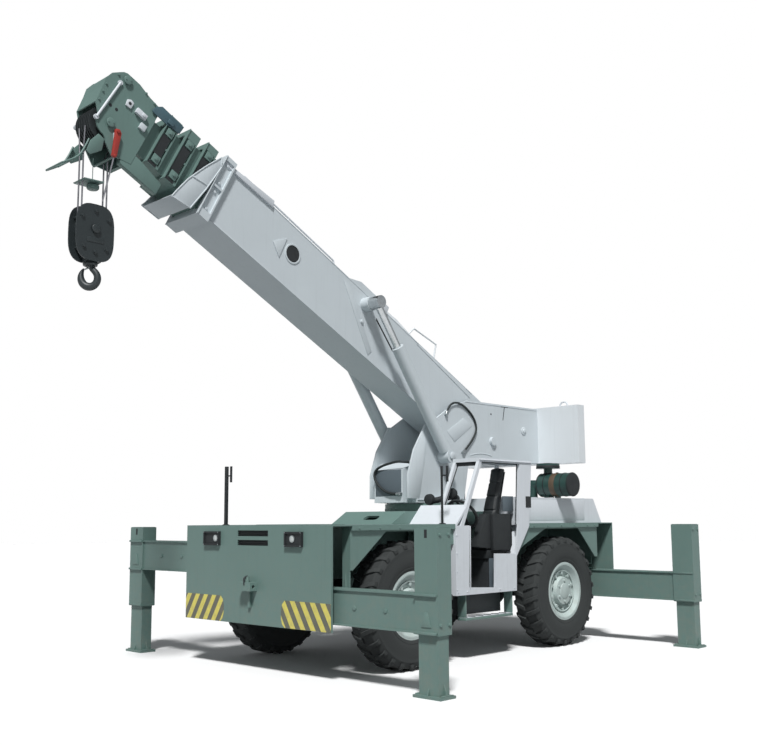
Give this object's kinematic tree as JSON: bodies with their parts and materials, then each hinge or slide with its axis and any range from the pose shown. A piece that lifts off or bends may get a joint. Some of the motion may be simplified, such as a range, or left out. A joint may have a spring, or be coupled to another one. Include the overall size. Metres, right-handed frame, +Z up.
{
  "type": "mobile crane",
  "caption": "Low industrial crane on steered wheels with a side cab, a turning turret, a telescopic boom, a hook block and outriggers that slide out sideways.",
  "frame": {"origin": "on the ground, at the middle of the parked crane's box in plan", "axes": "+X to the vehicle's left, +Y to its rear, +Z up"},
  "size_m": [5.084, 7.412, 5.9768],
  "materials": {
    "green_paint": "satin grey-green enamel",
    "light_paint": "satin light grey enamel",
    "white_paint": "satin off-white enamel",
    "dark_steel": "dark painted steel",
    "black_trim": "matte black",
    "lamp_trim": "black bezel with a pale lens",
    "rope_steel": "stranded steel",
    "bright_rod": "polished rod",
    "wheel_paint": "satin grey enamel",
    "tyre_rubber": "matte rubber"
  },
  "bodies": {
    "carrier": {"chassis_frame": "green_paint", "turntable_base": "green_paint", "front_plate": "green_paint", "outrigger_housings": "green_paint", "front_deck": "green_paint", "rear_deck": "green_paint", "engine_hood": "white_paint", "engine": "dark_steel", "air_cleaner": "black_trim", "cab_shell": "white_paint", "operator_seat": "black_trim", "control_console": "black_trim", "fuel_tank": "dark_steel", "axles": "dark_steel", "lamps": "lamp_trim", "mirrors": "black_trim"},
    "turret": {"turret_frame": "light_paint", "counterweight": "light_paint", "side_hose": "tyre_rubber", "nose_hose": "tyre_rubber"},
    "winch": {"winch_drum": "dark_steel"},
    "boom_base": {"boom_base": "light_paint"},
    "boom_2": {"boom_section_2": "green_paint"},
    "boom_3": {"boom_section_3": "green_paint"},
    "boom_4": {"boom_section_4": "green_paint"},
    "boom_tip": {"boom_tip": "green_paint"},
    "head_sheaves": {"head_sheaves": "dark_steel"},
    "top_sheave": {"top_sheave": "dark_steel"},
    "hook_block": {"hook_block": "dark_steel", "hoist_ropes": "rope_steel"},
    "hook": {"hook": "dark_steel"},
    "steering_front_left": {"knuckle_front_left": "dark_steel"},
    "wheel_front_left": {"wheel_front_left": "wheel_paint", "tyre_front_left": "tyre_rubber"},
    "outrigger_front_left": {"outrigger_beam_front_left": "green_paint"},
    "jack_front_left": {"outrigger_leg_front_left": "green_paint"},
    "steering_front_right": {"knuckle_front_right": "dark_steel"},
    "wheel_front_right": {"wheel_front_right": "wheel_paint", "tyre_front_right": "tyre_rubber"},
    "outrigger_front_right": {"outrigger_beam_front_right": "green_paint"},
    "jack_front_right": {"outrigger_leg_front_right": "green_paint"},
    "steering_rear_left": {"knuckle_rear_left": "dark_steel"},
    "wheel_rear_left": {"wheel_rear_left": "wheel_paint", "tyre_rear_left": "tyre_rubber"},
    "outrigger_rear_left": {"outrigger_beam_rear_left": "green_paint"},
    "jack_rear_left": {"outrigger_leg_rear_left": "green_paint"},
    "steering_rear_right": {"knuckle_rear_right": "dark_steel"},
    "wheel_rear_right": {"wheel_rear_right": "wheel_paint", "tyre_rear_right": "tyre_rubber"},
    "outrigger_rear_right": {"outrigger_beam_rear_right": "green_paint"},
    "jack_rear_right": {"outrigger_leg_rear_right": "green_paint"},
    "track_rod_front": {"tie_rod_front": "dark_steel"},
    "track_rod_rear": {"tie_rod_rear": "dark_steel"},
    "lift_barrel_left": {"lift_barrel_left": "light_paint"},
    "lift_rod_left": {"lift_rod_left": "bright_rod"},
    "lift_barrel_right": {"lift_barrel_right": "light_paint"},
    "lift_rod_right": {"lift_rod_right": "bright_rod"}
  },
  "joints": [
    {"name": "steer_front_left", "type": "hinge", "parent": "carrier", "child": "steering_front_left", "pos_m": [1, -0.306, 0.677], "axis": [0, 0, 1], "range_deg": [-30, 30]},
    {"name": "spin_front_left", "type": "hinge", "parent": "steering_front_left", "child": "wheel_front_left", "pos_m": [1.045, -0.306, 0.677], "axis": [1, 0, 0], "continuous": true},
    {"name": "slide_out_front_left", "type": "slide", "parent": "carrier", "child": "outrigger_front_left", "axis": [-1, 0, 0], "range_m": [0, 1.287]},
    {"name": "jack_lift_front_left", "type": "slide", "parent": "outrigger_front_left", "child": "jack_front_left", "axis": [0, 0, 1], "range_m": [0, 0.42]},
    {"name": "steer_front_right", "type": "hinge", "parent": "carrier", "child": "steering_front_right", "pos_m": [-1, -0.306, 0.677], "axis": [0, 0, 1], "range_deg": [-30, 30]},
    {"name": "spin_front_right", "type": "hinge", "parent": "steering_front_right", "child": "wheel_front_right", "pos_m": [-1.045, -0.306, 0.677], "axis": [1, 0, 0], "continuous": true},
    {"name": "slide_out_front_right", "type": "slide", "parent": "carrier", "child": "outrigger_front_right", "axis": [1, 0, 0], "range_m": [0, 1.287]},
    {"name": "jack_lift_front_right", "type": "slide", "parent": "outrigger_front_right", "child": "jack_front_right", "axis": [0, 0, 1], "range_m": [0, 0.42]},
    {"name": "steer_rear_left", "type": "hinge", "parent": "carrier", "child": "steering_rear_left", "pos_m": [1, 2.539, 0.677], "axis": [0, 0, 1], "range_deg": [-30, 30]},
    {"name": "spin_rear_left", "type": "hinge", "parent": "steering_rear_left", "child": "wheel_rear_left", "pos_m": [1.045, 2.539, 0.677], "axis": [1, 0, 0], "continuous": true},
    {"name": "slide_out_rear_left", "type": "slide", "parent": "carrier", "child": "outrigger_rear_left", "axis": [-1, 0, 0], "range_m": [0, 1.287]},
    {"name": "jack_lift_rear_left", "type": "slide", "parent": "outrigger_rear_left", "child": "jack_rear_left", "axis": [0, 0, 1], "range_m": [0, 0.42]},
    {"name": "steer_rear_right", "type": "hinge", "parent": "carrier", "child": "steering_rear_right", "pos_m": [-1, 2.539, 0.677], "axis": [0, 0, 1], "range_deg": [-30, 30]},
    {"name": "spin_rear_right", "type": "hinge", "parent": "steering_rear_right", "child": "wheel_rear_right", "pos_m": [-1.045, 2.539, 0.677], "axis": [1, 0, 0], "continuous": true},
    {"name": "slide_out_rear_right", "type": "slide", "parent": "carrier", "child": "outrigger_rear_right", "axis": [1, 0, 0], "range_m": [0, 1.287]},
    {"name": "jack_lift_rear_right", "type": "slide", "parent": "outrigger_rear_right", "child": "jack_rear_right", "axis": [0, 0, 1], "range_m": [0, 0.42]},
    {"name": "track_rod_front", "type": "slide", "parent": "carrier", "child": "track_rod_front", "axis": [1, 0, 0], "range_m": [-0.135, 0.135]},
    {"name": "track_rod_rear", "type": "slide", "parent": "carrier", "child": "track_rod_rear", "axis": [1, 0, 0], "range_m": [-0.135, 0.135]},
    {"name": "slew", "type": "hinge", "parent": "carrier", "child": "turret", "pos_m": [0, 1.294, 1.775], "axis": [0, 0, 1], "continuous": true},
    {"name": "winch_turn", "type": "hinge", "parent": "turret", "child": "winch", "pos_m": [0, 2.954, 2.78], "axis": [1, 0, 0], "continuous": true},
    {"name": "boom_lift", "type": "hinge", "parent": "turret", "child": "boom_base", "pos_m": [0, 2.244, 2.6], "axis": [-1, 0, 0], "range_deg": [-27.5, 50.5]},
    {"name": "extend_2", "type": "slide", "parent": "boom_base", "child": "boom_2", "axis": [0, -0.887, 0.4617], "range_m": [0, 3.65]},
    {"name": "extend_3", "type": "slide", "parent": "boom_2", "child": "boom_3", "axis": [0, -0.887, 0.4617], "range_m": [0, 3.65]},
    {"name": "extend_4", "type": "slide", "parent": "boom_3", "child": "boom_4", "axis": [0, -0.887, 0.4617], "range_m": [0, 3.65]},
    {"name": "extend_tip", "type": "slide", "parent": "boom_4", "child": "boom_tip", "axis": [0, -0.887, 0.4617], "range_m": [0, 3.65]},
    {"name": "head_sheaves_turn", "type": "hinge", "parent": "boom_tip", "child": "head_sheaves", "pos_m": [0, -3.45194, 5.37346], "axis": [1, 0, 0], "continuous": true},
    {"name": "top_sheave_turn", "type": "hinge", "parent": "boom_tip", "child": "top_sheave", "pos_m": [0, -3.27588, 5.85677], "axis": [1, 0, 0], "continuous": true},
    {"name": "hook_swing", "type": "hinge", "parent": "boom_tip", "child": "hook_block", "pos_m": [0, -3.506, 5.05], "axis": [1, 0, 0], "range_deg": [-35, 50.5]},
    {"name": "hook_swivel", "type": "hinge", "parent": "hook_block", "child": "hook", "pos_m": [0, -3.506, 4], "axis": [0, 0, 1], "continuous": true},
    {"name": "lift_barrel_left", "type": "hinge", "parent": "turret", "child": "lift_barrel_left", "pos_m": [0.436, 1.194, 2.355], "axis": [-1, 0, 0], "range_deg": [-30, 54.5]},
    {"name": "lift_rod_left", "type": "slide", "parent": "lift_barrel_left", "child": "lift_rod_left", "axis": [0, -0.5764, 0.8172], "range_m": [-0.468, 0.857]},
    {"name": "lift_barrel_right", "type": "hinge", "parent": "turret", "child": "lift_barrel_right", "pos_m": [-0.436, 1.194, 2.355], "axis": [-1, 0, 0], "range_deg": [-30, 54.5]},
    {"name": "lift_rod_right", "type": "slide", "parent": "lift_barrel_right", "child": "lift_rod_right", "axis": [0, -0.5764, 0.8172], "range_m": [-0.468, 0.857]}
  ],
  "couplings": [
    {"joint": "steer_front_right", "follows": "steer_front_left", "ratio": 1},
    {"joint": "track_rod_front", "follows": "steer_front_left", "m_per_rad": -0.25},
    {"joint": "steer_rear_right", "follows": "steer_rear_left", "ratio": 1},
    {"joint": "track_rod_rear", "follows": "steer_rear_left", "m_per_rad": -0.25},
    {"joint": "extend_3", "follows": "extend_2", "ratio": 1},
    {"joint": "extend_4", "follows": "extend_2", "ratio": 1},
    {"joint": "extend_tip", "follows": "extend_2", "ratio": 1},
    {"joint": "lift_barrel_left", "follows": "boom_lift", "ratio": 1.07},
    {"joint": "lift_rod_left", "follows": "boom_lift", "m_per_rad": 0.97},
    {"joint": "lift_barrel_right", "follows": "boom_lift", "ratio": 1.07},
    {"joint": "lift_rod_right", "follows": "boom_lift", "m_per_rad": 0.97}
  ]
}
